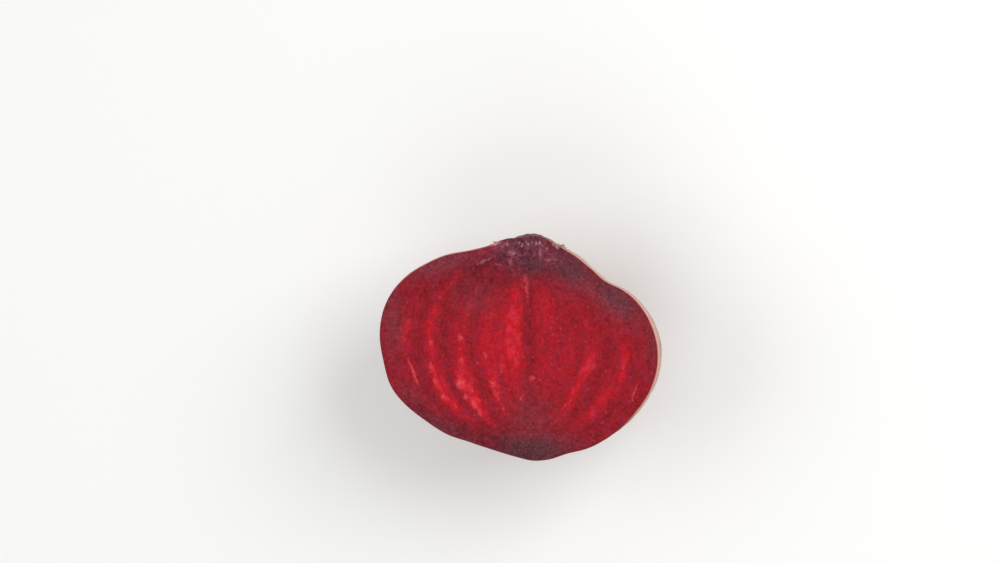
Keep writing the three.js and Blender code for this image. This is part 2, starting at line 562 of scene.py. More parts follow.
@dataclass(frozen=True)
class Finish:
    """A finish that a piece is dressed in."""

    name: str = "finish"

    def build(self) -> bpy.types.Material:
        """Make the material from its shader.

        Returns:
            The material, with its shader linked to its output.
        """
        material = bpy.data.materials.new(self.name)
        material.use_nodes = True
        tree = material.node_tree
        tree.nodes.clear()
        add_node(tree, "OutputMaterial", {"Surface": self.shade(tree)})
        return material

    def shade(self, tree: Tree) -> Socket:
        """Lay out the nodes and give back the shader's socket."""
        raise NotImplementedError


@dataclass(frozen=True)
class CutFlesh(Finish):
    """Raw beetroot flesh sliced with a sharp knife.

    The cut cells weep sap, so the face is moist and satin, deep red where the cells are full of it and paler
    along the vessels, whose pale ends carry painted wet highlights, with painted glints as small pale pink
    specks.
    Towards the skin and the crown the flesh is duller and more purple, and painted sheen, a purple-grey veil,
    lies at the upper left and right.
    """

    name: str = "beetroot_flesh_knife_cut"
    cell_mm: float = 0.95  # clusters of cells, which give the face its fine grain
    granule_mm: float = 0.8
    cloud_mm: float = 2.7
    tinge_mm: float = 3.4  # where the sap is more crimson than scarlet
    glint_mm: float = 1.8  # painted glints: small pale pink specks of wet sap on the cut vessels
    fibre_mm: float = 0.6
    bead_mm: float = 1.9  # droplets of sap along the vessels
    ring_mm: float = 44.0  # turns a ring's share into a distance
    net_mm: float = 2.6  # meshes of the pink network in the crown
    fray: float = 1.1  # how far flecks and strokes are pushed about
    net_fray: float = 4.5
    rim_mm: float = 0.34  # the peel's cut edge
    roughness: float = 0.42
    # how much each texture sways how full of sap a place is
    cell_sway: float = 0.66
    cloud_sway: float = 0.38
    strand_sway: float = 0.30
    granule_sway: float = 0.22
    # from empty to full cells, in the bright flesh and in the dull flesh near skin and crown
    bright_reds: Ramp = (
        (0.0, "#4f0c15"), (0.2, "#70101c"), (0.4, "#8d141f"), (0.6, "#a81422"), (0.8, "#c01321"),
        (1.0, "#ce2632"),
    )
    dull_reds: Ramp = (
        (0.0, "#391d22"), (0.2, "#50272e"), (0.42, "#69323c"), (0.65, "#823d49"), (1.0, "#a96875"),
    )
    # pale vessel ends along the rings, with painted wet highlights on them, and bundles of fibres that the
    # knife caught
    vessels: tuple[Patch, ...] = (
        Patch(0.1, 17.9, 0.9, 4.8, 0.5, 7),
        Patch(-30.1, 0.6, 0.6, 1.2, 0.6),
        Patch(-30.1, -6.8, 0.7, 1.6, 0.8, 4),
        Patch(-28.9, -11.1, 0.6, 1.1, 0.6, 15),
        Patch(-26.3, -16.0, 0.8, 1.2, 0.6, 25),
        Patch(-20.9, 2.2, 0.9, 1.1, 0.7),
        Patch(-20.6, -4.9, 0.8, 1.3, 0.6, 10),
        Patch(-20.9, -12.0, 1.5, 1.5, 0.95, 10),
        Patch(-19.0, -16.0, 0.9, 1.1, 0.7, 20),
        Patch(-16.5, -18.5, 0.9, 1.4, 0.8, 25),
        Patch(-14.6, -21.0, 0.6, 1.2, 0.6, 30),
        Patch(-13.0, -3.1, 0.8, 0.9, 0.6),
        Patch(-15.2, -5.6, 0.6, 0.8, 0.45),
        Patch(-10.8, -12.0, 0.8, 1.3, 0.7, 15),
        Patch(-7.9, -8.0, 0.7, 0.8, 0.5),
        Patch(-9.8, -14.8, 0.5, 5.2, 0.5, 29),
        Patch(-35.7, -8.6, 0.45, 4.6, 0.75, 22),
        Patch(34.1, -14.6, 0.4, 2.6, 0.6, -22),
        Patch(1.8, -10.2, 1.3, 1.0, 0.55),
        Patch(4.0, -10.8, 0.6, 0.6, 0.35),
        Patch(-1.6, -16.4, 0.5, 0.5, 0.6),
        Patch(21.5, -6.5, 0.7, 1.4, 0.45, -12),
        Patch(30.5, -7.0, 0.8, 1.5, 0.35, -12),
    )
    fibres: tuple[Patch, ...] = (
        Patch(-13.5, 25.6, 0.55, 3.6, 0.34, -65),
        Patch(-4.4, 28.2, 1.5, 1.0, 0.45),
        Patch(-5.0, 25.6, 0.8, 2.2, 0.28),
        Patch(-8.6, 24.6, 0.6, 2.0, 0.25, 70),
        Patch(-2.2, 31.5, 0.36, 0.6, 0.66, 14),
        Patch(-1.2, 30.7, 0.30, 0.7, 0.72, -10),
        Patch(0.0, 31.6, 0.24, 0.5, 0.5, 18),
        Patch(0.6, 30.8, 0.34, 0.7, 0.66, 4),
        Patch(2.0, 31.3, 0.24, 0.5, 0.52, -14),
        Patch(3.2, 31.1, 0.32, 0.9, 0.72, 8),
        Patch(4.2, 31.3, 0.40, 0.7, 0.76, -12),
        Patch(5.1, 30.5, 0.26, 0.6, 0.5, 20),
        Patch(-6.0, 31.0, 0.4, 0.9, 0.5, 30),
        Patch(4.4, 28.6, 0.5, 2.0, 0.45, 8),
        Patch(7.6, 26.0, 0.55, 2.4, 0.34, -85),
        Patch(6.4, 29.2, 0.7, 0.9, 0.45, -20),
        Patch(-7.4, 30.4, 0.6, 1.3, 0.35, -60),
        Patch(-9.6, 31.2, 1.7, 0.6, 0.9, 20),
        Patch(9.4, 30.5, 1.4, 0.5, 0.9, -35),
    )

    def shade(self, tree: Tree) -> Socket:
        """Lay out the nodes, which read the attributes of the cut face.

        Args:
            tree: The material's node tree.

        Returns:
            The shader's socket.
        """
        add = partial(add_node, tree)
        names = ("ring", "sap", "glow", "dusk", "core", "crown", "inset", "rim_light")
        read = {name: add("Attribute", out="Fac", attribute_name=name) for name in names}
        place = read["place"] = add("Attribute", out="Vector", attribute_name="place_mm")
        cells = read["cells"] = add("TexNoise", {"Vector": place, "Scale": 1 / self.cell_mm, "Detail": 2.0})
        clouds = read["clouds"] = add(
            "TexNoise", {"Vector": place, "Scale": 1 / self.cloud_mm, "Detail": 3.0, "Roughness": 0.65}
        )
        granules = add("TexVoronoi", {"Vector": place, "Scale": 1 / self.granule_mm}, out="Distance")
        read["granules"] = granules
        read["frayed"] = self._warped(add, place, self.fray)
        strands, bead = self._along_rings(add, read)

        # how full of sap each place is: rings and vessels, broken up by the grain
        level = add("Math", {0: read["glow"], 1: bead, 2: read["sap"]}, operation="MULTIPLY_ADD")
        for texture, sway in (
            (cells, self.cell_sway),
            (clouds, self.cloud_sway),
            (strands, self.strand_sway),
            (granules.node.outputs["Color"], self.granule_sway),
        ):
            centred = add("Math", {0: texture, 1: 0.5}, operation="SUBTRACT")
            level = add("Math", {0: centred, 1: sway, 2: level}, operation="MULTIPLY_ADD")

        red = self._bright_flesh(add, read, level)
        dull = add("ValToRGB", {0: level}, stops=self.dull_reds)
        # the dull purple mixed in here is partly the crown's and root tip's own dull flesh, and partly painted
        # sheen, a purple-grey veil at the upper left and right
        cloudy = add("Math", {0: clouds, 1: 0.6, 2: read["dusk"]}, operation="MULTIPLY_ADD")
        dulling = add("MapRange", {"Value": cloudy, "From Min": 0.35, "From Max": 1.15})
        colour = add("Mix", {0: dulling, 6: red, 7: dull}, out=2, data_type="RGBA")
        colour = self._core_and_crown(add, read, colour)
        colour = self._strokes(add, read, colour)
        colour = self._peel_edge(add, read, colour)

        rough = {"Value": clouds, "To Min": self.roughness - 0.12, "To Max": self.roughness + 0.16}
        relief = add("Math", {0: strands, 1: cells}, operation="ADD")
        return add(
            "BsdfPrincipled",
            {
                "Base Color": colour,
                "Roughness": add("MapRange", rough),
                "IOR": 1.36,
                "Specular IOR Level": 0.2,
                "Subsurface Weight": 0.06,
                "Subsurface Radius": (1.0, 0.25, 0.2),
                "Subsurface Scale": 0.5 * MM,
                "Normal": add("Bump", {"Strength": 0.5, "Distance": 0.12 * MM, "Height": relief}),
            },
        )

    def _along_rings(self, add: Adder, read: Sockets) -> tuple[Socket, Socket]:
        """Draw fibres and droplets of sap out along the rings.

        Args:
            add: Adds a node to the tree.
            read: The sockets of the face's attributes and textures.

        Returns:
            The fibres, and how much the droplets brighten a vessel.
        """
        height = add("SeparateXYZ", {0: read["place"]}, out="Y")
        across = add("Math", {0: read["ring"], 1: self.ring_mm}, operation="MULTIPLY")
        beside = add("CombineXYZ", {0: across, 1: height})
        drawn = add("Mapping", {"Vector": beside, "Scale": (1 / self.fibre_mm, 0.17 / self.fibre_mm, 1)})
        strands = add("TexNoise", {"Vector": drawn, "Scale": 1.0, "Detail": 2.0}, noise_dimensions="2D")
        beaded = add("Mapping", {"Vector": beside, "Scale": (1 / self.bead_mm, 0.62 / self.bead_mm, 1)})
        beads = add(
            "TexVoronoi",
            {"Vector": beaded, "Scale": 1.0},
            out="Distance",
            voronoi_dimensions="2D",
            feature="SMOOTH_F1",
        )
        swelling = {"Value": beads, "From Min": 0.65, "From Max": 0.1, "To Min": 0.35, "To Max": 1.5}
        return strands, add("MapRange", swelling)

    def _bright_flesh(self, add: Adder, read: Sockets, level: Socket) -> Socket:
        """Colour the bright flesh: scarlet in some places and crimson in others, with small painted glints.

        Args:
            add: Adds a node to the tree.
            read: The sockets of the face's attributes and textures.
            level: How full of sap each place is.

        Returns:
            The colour's socket.
        """
        red = add("ValToRGB", {0: level}, stops=self.bright_reds)
        tinge = add("TexNoise", {"Vector": read["place"], "Scale": 1 / self.tinge_mm, "Detail": 3.0})
        crimson = add("MapRange", {"Value": tinge, "From Min": 0.46, "From Max": 0.68, "To Max": 0.3})
        glints = add("TexVoronoi", {"Vector": read["frayed"], "Scale": 1 / self.glint_mm}, out="Distance")
        chosen = add("MapRange", {"Value": glints.node.outputs["Color"], "From Min": 0.6, "From Max": 0.9})
        dot = add("MapRange", {"Value": glints, "From Min": 0.30, "From Max": 0.06, "To Max": 0.3})
        glint = add("Math", {0: chosen, 1: dot}, operation="MULTIPLY")
        # the pale pink specks are painted glints of wet sap
        for share, tint in ((crimson, "#9c2443"), (glint, "#d0606c")):
            red = add("Mix", {0: share, 6: red, 7: linear(tint)}, out=2, data_type="RGBA")
        return red

    def _core_and_crown(self, add: Adder, read: Sockets, colour: Socket) -> Socket:
        """Add the granular core above the root tip, and the magenta clouds and pink network of the crown.

        Args:
            add: Adds a node to the tree.
            read: The sockets of the face's attributes and textures.
            colour: The flesh's colour so far.

        Returns:
            The new colour's socket.
        """
        grain_light = add("MapRange", {"Value": read["granules"], "From Min": 0.34, "From Max": 0.08})
        warped = self._warped(add, read["place"], self.net_fray)
        net = add("TexVoronoi", {"Vector": warped, "Scale": 1 / self.net_mm}, feature="DISTANCE_TO_EDGE")
        net_light = add("MapRange", {"Value": net, "From Min": 0.13, "From Max": 0.02})
        for share, mask, amount, tint in (
            (grain_light, read["core"], 0.34, "#b0505c"),
            (read["clouds"], read["crown"], 0.75, "#682034"),
            (net_light, read["crown"], 0.34, "#a8607e"),
        ):
            shown = add("Math", {0: share, 1: mask}, operation="MULTIPLY")
            weak = add("Math", {0: shown, 1: amount}, operation="MULTIPLY")
            colour = add("Mix", {0: weak, 6: colour, 7: linear(tint)}, out=2, data_type="RGBA")
        return colour

    def _strokes(self, add: Adder, read: Sockets, colour: Socket) -> Socket:
        """Add the vessel ends with their painted wet highlights, and the caught fibres, frayed by the grain.

        Args:
            add: Adds a node to the tree.
            read: The sockets of the face's attributes and textures.
            colour: The flesh's colour so far.

        Returns:
            The new colour's socket.
        """
        grain = {"Value": read["cells"], "From Min": 0.3, "From Max": 0.7, "To Min": 0.5, "To Max": 1.5}
        fraying = add("MapRange", grain)
        # the vessel ends carry painted wet highlights in pale pink-red; the fibres keep their own pale colour
        for patches, tint in ((self.vessels, "#e34a54"), (self.fibres, "#c28a96")):
            shown = None
            for patch in patches:
                local = add(
                    "Mapping",
                    {
                        "Vector": read["frayed"],
                        "Location": (patch.x, patch.y + LEAN * patch.x, 0.0),
                        "Rotation": (0.0, 0.0, math.radians(patch.turn)),
                        "Scale": (1.5 * patch.half_x, 1.5 * patch.half_y, 100.0),
                    },
                    vector_type="TEXTURE",
                )
                ball = add("TexGradient", {"Vector": local}, out="Fac", gradient_type="SPHERICAL")
                spot = add("Math", {0: ball, 1: patch.amount}, operation="MULTIPLY")
                shown = add("Math", {0: shown, 1: spot}, operation="MAXIMUM") if shown else spot
            torn = add("Math", {0: shown, 1: fraying}, operation="MULTIPLY")
            share = add("MapRange", {"Value": torn, "From Min": 0.12, "From Max": 0.8, "To Max": 0.9})
            colour = add("Mix", {0: share, 6: colour, 7: linear(tint)}, out=2, data_type="RGBA")
        return colour

    def _peel_edge(self, add: Adder, read: Sockets, colour: Socket) -> Socket:
        """Add the peel's cut edge: pale with a painted highlight at the right and top left, dark with painted
        shade below, none at the crown.

        Args:
            add: Adds a node to the tree.
            read: The sockets of the face's attributes and textures.
            colour: The flesh's colour so far.

        Returns:
            The new colour's socket.
        """
        # dark red where the edge is painted in shade, pale tan where a painted highlight lies on it
        tints = {0: read["rim_light"], 6: linear("#7a2430"), 7: linear("#cf8f80")}
        edge = add("Mix", tints, out=2, data_type="RGBA")
        thin = {"Value": read["inset"], "From Min": self.rim_mm, "From Max": 0.5 * self.rim_mm}
        peeled = add("MapRange", {"Value": read["crown"], "From Min": 0.5, "From Max": 0.15})
        at_edge = add("Math", {0: add("MapRange", thin), 1: peeled}, operation="MULTIPLY")
        return add("Mix", {0: at_edge, 6: colour, 7: edge}, out=2, data_type="RGBA")

    def _warped(self, add: Adder, place: Socket, amount: float) -> Socket:
        """Push a place about, so that what is drawn there is uneven.

        Args:
            add: Adds a node to the tree.
            place: The place, in millimetres.
            amount: Twice the furthest that it is pushed, about.

        Returns:
            The new place's socket.
        """
        push = add("TexNoise", {"Vector": place, "Scale": 0.9, "Detail": 3.0}, out="Color")
        centred = add("VectorMath", {0: push, 1: (0.5, 0.5, 0.5)}, operation="SUBTRACT")
        scaled = add("VectorMath", {0: centred, "Scale": amount}, operation="SCALE")
        return add("VectorMath", {0: place, 1: scaled}, operation="ADD")


@dataclass(frozen=True)
class Region:
    """A region of the peel, bounded by a distance in millimetres.

    It begins at start and is full at full. A texture breaks its edge over the length broken. At most says how
    strong it gets, and soft whether it fades in smoothly.
    """

    start: float
    full: float
    broken: float = 0.0
    most: float = 1.0
    soft: bool = True

    def cover(self, add: Adder, reach: Socket, texture: Socket) -> Socket:
        """Lay out how much of the region covers each place.

        Args:
            add: Adds a node to the tree.
            reach: The distance that bounds the region.
            texture: The texture that breaks its edge.

        Returns:
            The socket of the cover.
        """
        uneven = add("Math", {0: texture, 1: self.broken, 2: reach}, operation="MULTIPLY_ADD")
        bounds = {"Value": uneven, "From Min": self.start, "From Max": self.full, "To Max": self.most}
        return add("MapRange", bounds, interpolation_type="SMOOTHSTEP" if self.soft else "LINEAR")


@dataclass(frozen=True)
class RootSkin(Finish):
    """The thin corky peel of a washed beetroot.

    It is matt and a little dusty, rosy brown with grey-purple and ochre patches, dark pores and fine lines
    round the root. The crown has a golden corky collar round bare purple flesh, and the root's end a scar.
    """

    name: str = "beetroot_peel_corky"
    patch_mm: float = 14.0
    mottle_mm: float = 4.0
    grain_mm: float = 0.7
    pore_mm: float = 1.6
    line_mm: float = 0.8
    roughness: float = 0.58
    cork: Region = Region(27.0, 14.0, broken=14.0)  # from the crown's middle
    shade_between_stumps: Region = Region(16.0, 10.0, most=0.8)  # painted shade in the low gaps between the stumps of the leaf stalks
    bared: Region = Region(13.5, 10.5, broken=9.0, soft=False)  # where the stalks were trimmed off
    tip: Region = Region(16.0, 3.0, most=0.75)  # from the root's tip, where the peel is darker
    scar_ring: Region = Region(5.8, 3.6, broken=2.4, soft=False)
    scar: Region = Region(3.8, 2.4, broken=2.4, soft=False)  # where the thin end of the root was cut off
    pared: Region = Region(16.0, 9.5, broken=16.0, most=0.85)  # below the knife's edge, paler and rosier, with a painted highlight at the right and top left
    patch_browns: Ramp = (
        (0.34, "#6f6161"), (0.43, "#836a67"), (0.50, "#926f65"), (0.57, "#9b7362"), (0.66, "#a57a60"),
    )
    mottle_browns: Ramp = (
        (0.34, "#68595a"), (0.44, "#846763"), (0.52, "#987064"), (0.60, "#a97d6d"), (0.68, "#b28465"),
    )
    corks: Ramp = ((0.28, "#60422d"), (0.45, "#9a6e48"), (0.6, "#b78a5e"), (0.75, "#d2a87c"))
    purples: Ramp = ((0.5, "#47202d"), (0.8, "#5d2c3c"), (1.0, "#724352"))

    def shade(self, tree: Tree) -> Socket:
        """Lay out the nodes, which read the attributes of the round back.

        Args:
            tree: The material's node tree.

        Returns:
            The shader's socket.
        """
        add = partial(add_node, tree)
        names = ("crown_reach", "root_reach", "rim_depth", "roll", "rim_light", "stump")
        read = {name: add("Attribute", out="Fac", attribute_name=name) for name in names}
        place = add("Attribute", out="Vector", attribute_name="place_mm")
        for name, size, detail, rough, bend in (
            ("patches", self.patch_mm, 5.0, 0.6, 0.5),
            ("mottle", self.mottle_mm, 5.0, 0.65, 0.8),
            ("grain", self.grain_mm, 3.0, 0.5, 0.0),
        ):
            inputs = {"Vector": place, "Scale": 1 / size, "Detail": detail, "Roughness": rough}
            read[name] = add("TexNoise", inputs | {"Distortion": bend})
        # fine lines run round the root, so they are narrow along it and long round it
        around = add("Math", {0: read["roll"], 1: 3.2}, operation="MULTIPLY")
        lengthwise = add("Math", {0: read["crown_reach"], 1: 1 / self.line_mm}, operation="MULTIPLY")
        unrolled = add("CombineXYZ", {0: around, 1: lengthwise})
        lines = read["lines"] = add(
            "TexNoise",
            {"Vector": unrolled, "Scale": 1.0, "Detail": 3.0, "Distortion": 0.3},
            noise_dimensions="2D",
        )

        base = add("ValToRGB", {0: read["patches"]}, stops=self.patch_browns)
        blotch = add("ValToRGB", {0: read["mottle"]}, stops=self.mottle_browns)
        colour = add("Mix", {0: 0.5, 6: base, 7: blotch}, out=2, data_type="RGBA")
        colour = self._with_regions(add, read, colour)
        for texture, amount in ((read["grain"], 0.42), (lines, 0.15)):
            factor = add("MapRange", {"Value": texture, "To Min": 1 - amount, "To Max": 1 + amount})
            inputs = {0: 1.0, 6: colour, 7: factor}
            colour = add("Mix", inputs, out=2, data_type="RGBA", blend_type="MULTIPLY")
        # pores come in clusters
        pores = add("TexVoronoi", {"Vector": place, "Scale": 1 / self.pore_mm}, out="Distance")
        picked = add("Math", {0: read["mottle"], 1: pores.node.outputs["Color"]}, operation="MULTIPLY")
        chosen = add("MapRange", {"Value": picked, "From Min": 0.34, "From Max": 0.44})
        dot = add("MapRange", {"Value": pores, "From Min": 0.24, "From Max": 0.08, "To Max": 0.6})
        pore = add("Math", {0: chosen, 1: dot}, operation="MULTIPLY")
        colour = add("Mix", {0: pore, 6: colour, 7: linear("#553c33")}, out=2, data_type="RGBA")

        rough = {"Value": read["mottle"], "To Min": self.roughness - 0.12, "To Max": self.roughness + 0.16}
        relief = add("Math", {0: lines, 1: 0.6, 2: read["grain"]}, operation="MULTIPLY_ADD")
        pitted = add("Math", {0: relief, 1: pore}, operation="SUBTRACT")
        return add(
            "BsdfPrincipled",
            {
                "Base Color": colour,
                "Roughness": add("MapRange", rough),
                "IOR": 1.4,
                "Specular IOR Level": 0.3,
                "Sheen Weight": 0.1,
                "Sheen Roughness": 0.45,
                "Sheen Tint": linear("#f3dccb"),
                "Normal": add("Bump", {"Strength": 0.7, "Distance": 0.16 * MM, "Height": pitted}),
            },
        )

    def _with_regions(self, add: Adder, read: Sockets, colour: Socket) -> Socket:
        """Lay the regions of crown, root and rim over the brown peel, one after the other.

        Args:
            add: Adds a node to the tree.
            read: The sockets of the back's attributes and textures.
            colour: The peel's colour so far.

        Returns:
            The new colour's socket.
        """
        crown, root, mottle, grain = (read[name] for name in ("crown_reach", "root_reach", "mottle", "grain"))
        golden = add("ValToRGB", {0: grain}, stops=self.corks)
        # painted shade: dark brown where the skin sinks low between the leaf-stalk stumps near the crown
        low = add("MapRange", {"Value": read["stump"], "From Min": 0.55, "From Max": 0.15})
        near = self.shade_between_stumps.cover(add, crown, mottle)
        dried = add("Math", {0: read["lines"], 1: 0.6, 2: grain}, operation="MULTIPLY_ADD")
        purple = add("ValToRGB", {0: dried}, stops=self.purples)
        band = self.pared.cover(add, read["rim_depth"], mottle)
        for share, tint in (
            (self.cork.cover(add, crown, mottle), golden),
            (add("Math", {0: near, 1: low}, operation="MULTIPLY"), linear("#4c3021")),
            (self.bared.cover(add, crown, mottle), purple),
            (self.tip.cover(add, root, mottle), linear("#5d453d")),
            (self.scar_ring.cover(add, root, grain), linear("#45302b")),
            (self.scar.cover(add, root, grain), linear("#76524b")),
            # the pared band: paler peel with a painted highlight where the light falls
            (add("Math", {0: band, 1: read["rim_light"]}, operation="MULTIPLY"), linear("#d09f8e")),
        ):
            colour = add("Mix", {0: share, 6: colour, 7: tint}, out=2, data_type="RGBA")
        return colour


@dataclass(frozen=True)
class DriedStalk(Finish):
    """What is left of the leaf stalks: papery and fibrous, golden at the torn tip, with painted shade dark at
    the foot.
    """

    name: str = "leaf_stalk_dried"
    fibre_mm: float = 0.4
    roughness: float = 0.7
    browns_shaded_at_foot: Ramp = ((0.3, "#3b251c"), (0.5, "#6b4733"), (0.72, "#9b7150"), (0.95, "#c99c78"))

    def shade(self, tree: Tree) -> Socket:
        """Lay out the nodes, which read the height up each stalk base.

        Args:
            tree: The material's node tree.

        Returns:
            The shader's socket.
        """
        add = partial(add_node, tree)
        place = add("Attribute", out="Vector", attribute_name="place_mm")
        tip, shade = (add("Attribute", out="Fac", attribute_name=name) for name in ("tip", "shade"))
        fibres = add(
            "TexNoise", {"Vector": place, "Scale": 1 / self.fibre_mm, "Detail": 3.0, "Roughness": 0.65}
        )
        # rising from dark at the foot, painted shade in the crevices between the stalk bases, to golden at the
        # torn tip
        level = add("Math", {0: tip, 1: 0.5, 2: shade}, operation="MULTIPLY_ADD")
        level = add("Math", {0: fibres, 1: 0.9, 2: level}, operation="MULTIPLY_ADD")
        colour = add("ValToRGB", {0: level}, stops=self.browns_shaded_at_foot)
        bump = add("Bump", {"Strength": 0.8, "Distance": 0.15 * MM, "Height": fibres})
        return add("BsdfPrincipled", {"Base Color": colour, "Roughness": self.roughness, "Normal": bump})


@dataclass(frozen=True)
class PaleSurface(Finish):
    """The plain pale floor, smooth and matt."""

    name: str = "studio_floor_matt"
    colour: str = "#f9f9f8"

    def shade(self, tree: Tree) -> Socket:
        """Lay out the floor's one node and give back its socket."""
        return add_node(tree, "BsdfPrincipled", {"Base Color": linear(self.colour), "Roughness": 0.9})


def make_piece(
    name: str, bm: bmesh.types.BMesh, shift: Vector, finishes: Sequence[Finish]
) -> bpy.types.Object:
    """Turn a mesh in millimetres about the root's middle into a dressed piece of the frame.

    Args:
        name: The piece's name.
        bm: Its mesh, which is freed.
        shift: The root's middle in the frame, in millimetres.
        finishes: Its finishes, in the order of its slots.

    Returns:
        The piece, at the origin, with its places in millimetres kept as an attribute.
    """
    mesh = bpy.data.meshes.new(name)
    bm.to_mesh(mesh)
    bm.free()
    places = [number for vert in mesh.vertices for number in vert.co]
    mesh.attributes.new("place_mm", "FLOAT_VECTOR", "POINT").data.foreach_set("vector", places)
    mesh.transform(Matrix.Translation(shift * MM) @ Matrix.Scale(MM, 4))
    mesh.polygons.foreach_set("use_smooth", [True] * len(mesh.polygons))
    for finish in finishes:
        mesh.materials.append(finish.build())
    piece = bpy.data.objects.new(name, mesh)
    bpy.context.scene.collection.objects.link(piece)
    return piece


@dataclass
class BeetrootHalf:
    """The half itself, one closed mesh: flat cut face, fine rim, round back with crown and root."""

    edge: Outline
    back: RoundBack
    pattern: CutPattern
    shift: Vector
    segments: int = 112  # mesh steps across each side of the block that it is shaped from
    rim_crowding: float = 0.35  # how much closer the rows lie near the rim
    rim_bevel: float = 0.14
    # low relief of the cut face: along the rings, where the knife tore the tough crown, and slow
    ring_relief: float = 0.05
    ring_share: float = 0.18  # of the way to the edge, from one ring to the next
    torn_relief: float = 0.35
    slow_relief: float = 0.10
    face_sunk: float = 0.12
    # low relief of the skin
    coarse_relief: float = 0.22
    fine_relief: float = 0.10
    line_relief: float = 0.05

    def build(self) -> bpy.types.Object:
        """Shape the mesh, mark it by formula and place it in the frame.

        Returns:
            The finished object, at the origin.
        """
        bm = bmesh.new()
        bmesh.ops.create_cube(bm, size=2.0)
        bmesh.ops.subdivide_edges(bm, edges=bm.edges[:], cuts=self.segments - 1, use_grid_fill=True)
        for face in bm.faces:
            face.material_index = (Slot.SKIN if face.calc_center_median().z < 0 else Slot.FLESH).value
        rest = self._lowest() + self.back.rest_depth
        rim = set()
        for vert in bm.verts:
            direction = Vector(math.tan(c * math.pi / 4) for c in vert.co).normalized()
            if direction.z > 1e-4:
                vert.co = self._face_point(direction)
                continue
            vert.co = self._back_point(direction)
            vert.co.z = max(vert.co.z, rest)
            if direction.z > -1e-4:
                rim.add(vert)
        rim_edges = [e for e in bm.edges if e.verts[0] in rim and e.verts[1] in rim]
        bmesh.ops.bevel(
            bm, geom=rim_edges, offset=self.rim_bevel, affect="EDGES", segments=2, profile=0.5, material=-1
        )
        bmesh.ops.recalc_face_normals(bm, faces=bm.faces[:])
        marks = [self._mark(vert.co) for vert in bm.verts]
        piece = make_piece("beetroot", bm, self.shift, (CutFlesh(), RootSkin()))
        for name in marks[0]:
            layer = piece.data.attributes.new(name, "FLOAT", "POINT")
            layer.data.foreach_set("value", [mark[name] for mark in marks])
        return piece

    def _lowest(self) -> float:
        """Give the lowest height that the back would reach if it weren't pressed flat."""
        steps = [math.pi * (0.3 + 0.4 * k / 48) for k in range(49)]
        return min(self.back.point(tilt, roll).z for tilt in steps for roll in steps)

    def _face_point(self, direction: Vector) -> Vector:
        """Lay a direction of the upper half flat into the cut face, with even spacing.

        Args:
            direction: The direction from the root's middle.

        Returns:
            The point on the cut face.
        """
        angle = math.atan2(direction.x, direction.y)
        share = math.sqrt(max(0.0, 1 - direction.z))
        reach = share * self.back.radius(abs(angle), 0.0 if angle >= 0 else math.pi)
        x, y = reach * math.sin(angle), reach * math.cos(angle)
        return Vector((x, y, self._face_relief(x, y, share)))

    def _face_relief(self, x: float, y: float, share: float) -> float:
        """Give the slight unevenness that the knife leaves, more in the tough crown.

        Args:
            x: Place across the cut face.
            y: Place towards the crown.
            share: Share of the way from the middle to the edge, where it fades out.

        Returns:
            The height in millimetres.
        """
        swell = self.ring_relief * math.cos(abs(self.pattern.ring(x, y)) * 2 * math.pi / self.ring_share)
        torn = self.pattern.crown.read(x, y) * noise.noise(Vector((x * 0.7, y * 0.7, 0.0)))
        slow = self.slow_relief * noise.noise(Vector((x * 0.06, y * 0.06, 7.0)))
        return (swell + self.torn_relief * torn + slow - self.face_sunk) * smooth(1.0, 0.93, share)

    def _back_point(self, direction: Vector) -> Vector:
        """Put a direction of the lower half on the skin, with rows crowded towards the rim.

        Args:
            direction: The direction from the root's middle.

        Returns:
            The point on the skin.
        """
        below = math.asin(min(1.0, max(0.0, -direction.z)))
        angle = math.atan2(direction.x, direction.y)
        below -= self.rim_crowding * math.sin(2 * below) / 2
        level = math.cos(below)
        aimed = Vector((level * math.sin(angle), level * math.cos(angle), -math.sin(below)))
        tilt = math.acos(min(1.0, max(-1.0, aimed.y)))
        roll = math.atan2(max(0.0, -aimed.z), aimed.x)
        reach = self.back.radius(tilt, roll)
        point = aimed * reach
        off_rim = smooth(0.0, 3.0, -point.z)
        coarse = self.coarse_relief * noise.noise(point * 0.16)
        fine = self.fine_relief * noise.noise(point * 0.5 + Vector((5.0, 0.0, 0.0)))
        lines = self.line_relief * noise.noise(Vector((roll * 2.5, tilt * 55.0, 2.0)))
        return aimed * (reach + off_rim * (coarse + fine + lines))

    def _mark(self, place: Vector) -> dict[str, float]:
        """Give what the two finishes read at one point.

        Args:
            place: The point, from the root's middle.

        Returns:
            The values, by the names that the finishes read them under.
        """
        x, y, z = place
        reach = place.length
        tilt = math.acos(min(1.0, max(-1.0, y / max(reach, 1e-6))))
        skin = {
            "crown_reach": tilt * reach,
            "root_reach": (math.pi - tilt) * reach,
            "rim_depth": -z,
            "roll": math.atan2(max(0.0, -z), x),
            "stump": 0.0,
        }
        if tilt < 0.8:
            skin["stump"] = self.back.stump_relief(math.hypot(x, z), skin["roll"]) / self.back.stump_height
        if z > -1.0:
            return self.pattern.read(x, y) | skin
        blank = dict.fromkeys(("ring", "sap", "glow", "dusk", "core", "crown", "inset"), 0.0)
        # on the left the paler band with its painted highlight is kept narrower
        left = 0.35 + 0.65 * smooth(-2.5, -1.0, z) if x < 0 else 1.0
        return blank | skin | {"rim_light": left * self.pattern.rim_light(x, y)}


